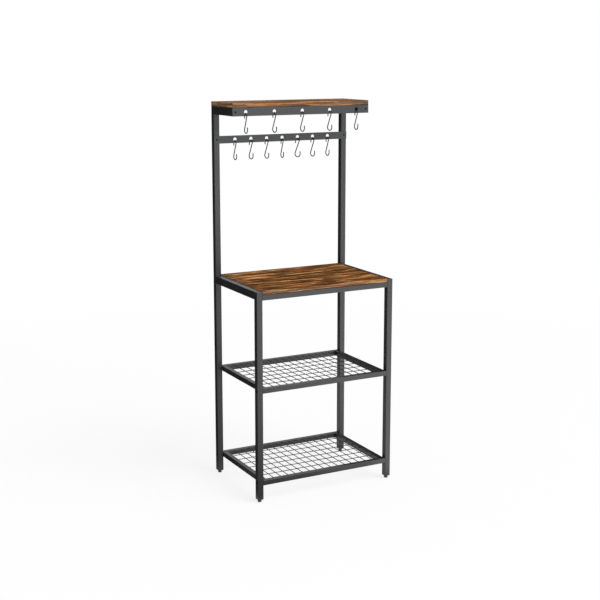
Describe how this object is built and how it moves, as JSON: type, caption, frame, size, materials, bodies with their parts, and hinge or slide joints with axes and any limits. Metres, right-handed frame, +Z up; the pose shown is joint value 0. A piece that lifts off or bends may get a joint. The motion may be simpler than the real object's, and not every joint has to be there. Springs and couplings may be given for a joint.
{
  "type": "kitchen shelving unit",
  "caption": "Metal-framed kitchen shelving unit with a wooden worktop, wire mesh shelves below, a shallow wooden top shelf, and rows of S-hooks on an apron and a strip.",
  "frame": {"origin": "on the floor under the middle of the unit, at the middle of its width and depth", "axes": "+X to the right seen from the front, +Y to the back, +Z up"},
  "size_m": [0.6044, 0.4, 1.526],
  "materials": {
    "frame": "satin black powder coat",
    "strip": "satin black powder coat",
    "wire": "satin black powder coat",
    "hook": "black lacquered wire",
    "wood": "rustic brown board, matt",
    "plastic": "black moulded plastic",
    "bolt": "black button head",
    "steel": "zinc plated"
  },
  "bodies": {
    "frame": {"apron_screws": "bolt", "arm_plugs": "plastic", "connector_screws": "bolt", "front_leg_caps": "plastic", "hook_strip": "strip", "hook_strip_screws": "bolt", "left_front_leg": "frame", "left_post_connector": "steel", "left_rear_lower_post": "frame", "left_top_shelf_arm": "frame", "left_upper_post": "frame", "left_worktop_side_rail": "frame", "leg_plugs": "plastic", "low_shelf_bolts": "bolt", "low_shelf_front_rail": "frame", "low_shelf_left_rail": "frame", "low_shelf_mesh": "wire", "low_shelf_nuts": "steel", "low_shelf_rear_rail": "frame", "low_shelf_right_rail": "frame", "mid_shelf_bolts": "bolt", "mid_shelf_front_rail": "frame", "mid_shelf_left_rail": "frame", "mid_shelf_mesh": "wire", "mid_shelf_nuts": "steel", "mid_shelf_rear_rail": "frame", "mid_shelf_right_rail": "frame", "right_front_leg": "frame", "right_post_connector": "steel", "right_rear_lower_post": "frame", "right_top_shelf_arm": "frame", "right_upper_post": "frame", "right_worktop_side_rail": "frame", "top_board_screws": "steel", "top_shelf_apron": "strip", "top_shelf_board": "wood", "worktop_board": "wood", "worktop_board_screws": "steel", "worktop_front_rail": "frame", "worktop_rail_bolts": "bolt", "worktop_rail_nuts": "steel", "worktop_rear_rail": "frame"},
    "apron_hook_1": {"apron_hook_1": "hook"},
    "apron_hook_2": {"apron_hook_2": "hook"},
    "apron_hook_3": {"apron_hook_3": "hook"},
    "apron_hook_4": {"apron_hook_4": "hook"},
    "apron_hook_5": {"apron_hook_5": "hook"},
    "left_front_foot": {"left_front_foot": "plastic"},
    "left_rear_foot": {"left_rear_foot": "plastic"},
    "right_front_foot": {"right_front_foot": "plastic"},
    "right_rear_foot": {"right_rear_foot": "plastic"},
    "strip_hook_1": {"strip_hook_1": "hook"},
    "strip_hook_2": {"strip_hook_2": "hook"},
    "strip_hook_3": {"strip_hook_3": "hook"},
    "strip_hook_4": {"strip_hook_4": "hook"},
    "strip_hook_5": {"strip_hook_5": "hook"},
    "strip_hook_6": {"strip_hook_6": "hook"},
    "strip_hook_7": {"strip_hook_7": "hook"}
  },
  "joints": [
    {"name": "strip_hook_1_swing", "type": "hinge", "parent": "frame", "child": "strip_hook_1", "pos_m": [-0.21, 0.175, 1.36205], "axis": [0.9976, 0.0698, 0], "range_deg": [-30, 30]},
    {"name": "strip_hook_2_swing", "type": "hinge", "parent": "frame", "child": "strip_hook_2", "pos_m": [-0.14, 0.175, 1.36205], "axis": [0.9659, 0.2588, 0], "range_deg": [-30, 30]},
    {"name": "strip_hook_3_swing", "type": "hinge", "parent": "frame", "child": "strip_hook_3", "pos_m": [-0.07, 0.175, 1.36205], "axis": [0.9613, 0.2756, 0], "range_deg": [-30, 30]},
    {"name": "strip_hook_4_swing", "type": "hinge", "parent": "frame", "child": "strip_hook_4", "pos_m": [0, 0.175, 1.36205], "axis": [1, 0, 0], "range_deg": [-30, 30]},
    {"name": "strip_hook_5_swing", "type": "hinge", "parent": "frame", "child": "strip_hook_5", "pos_m": [0.07, 0.175, 1.36205], "axis": [0.848, 0.5299, 0], "range_deg": [-30, 30]},
    {"name": "strip_hook_6_swing", "type": "hinge", "parent": "frame", "child": "strip_hook_6", "pos_m": [0.14, 0.175, 1.36205], "axis": [0.9659, 0.2588, 0], "range_deg": [-30, 30]},
    {"name": "strip_hook_7_swing", "type": "hinge", "parent": "frame", "child": "strip_hook_7", "pos_m": [0.21, 0.175, 1.36205], "axis": [0.9962, 0.0872, 0], "range_deg": [-30, 30]},
    {"name": "apron_hook_1_swing", "type": "hinge", "parent": "frame", "child": "apron_hook_1", "pos_m": [-0.244, 0.001, 1.47805], "axis": [0.9994, 0.0349, 0], "range_deg": [-30, 30]},
    {"name": "apron_hook_2_swing", "type": "hinge", "parent": "frame", "child": "apron_hook_2", "pos_m": [-0.122, 0.001, 1.47805], "axis": [0.9781, 0.2079, 0], "range_deg": [-30, 30]},
    {"name": "apron_hook_3_swing", "type": "hinge", "parent": "frame", "child": "apron_hook_3", "pos_m": [0, 0.001, 1.47805], "axis": [0.9816, 0.1908, 0], "range_deg": [-30, 30]},
    {"name": "apron_hook_4_swing", "type": "hinge", "parent": "frame", "child": "apron_hook_4", "pos_m": [0.122, 0.001, 1.47805], "axis": [0.9659, 0.2588, 0], "range_deg": [-30, 30]},
    {"name": "apron_hook_5_swing", "type": "hinge", "parent": "frame", "child": "apron_hook_5", "pos_m": [0.244, 0.001, 1.47805], "axis": [0.9986, 0.0523, 0], "range_deg": [-30, 30]},
    {"name": "left_front_foot_turn", "type": "hinge", "parent": "frame", "child": "left_front_foot", "pos_m": [-0.288, -0.188, 0.01], "axis": [0, 0, 1], "continuous": true},
    {"name": "left_rear_foot_turn", "type": "hinge", "parent": "frame", "child": "left_rear_foot", "pos_m": [-0.288, 0.188, 0.01], "axis": [0, 0, 1], "continuous": true},
    {"name": "right_front_foot_turn", "type": "hinge", "parent": "frame", "child": "right_front_foot", "pos_m": [0.288, -0.188, 0.01], "axis": [0, 0, 1], "continuous": true},
    {"name": "right_rear_foot_turn", "type": "hinge", "parent": "frame", "child": "right_rear_foot", "pos_m": [0.288, 0.188, 0.01], "axis": [0, 0, 1], "continuous": true}
  ]
}
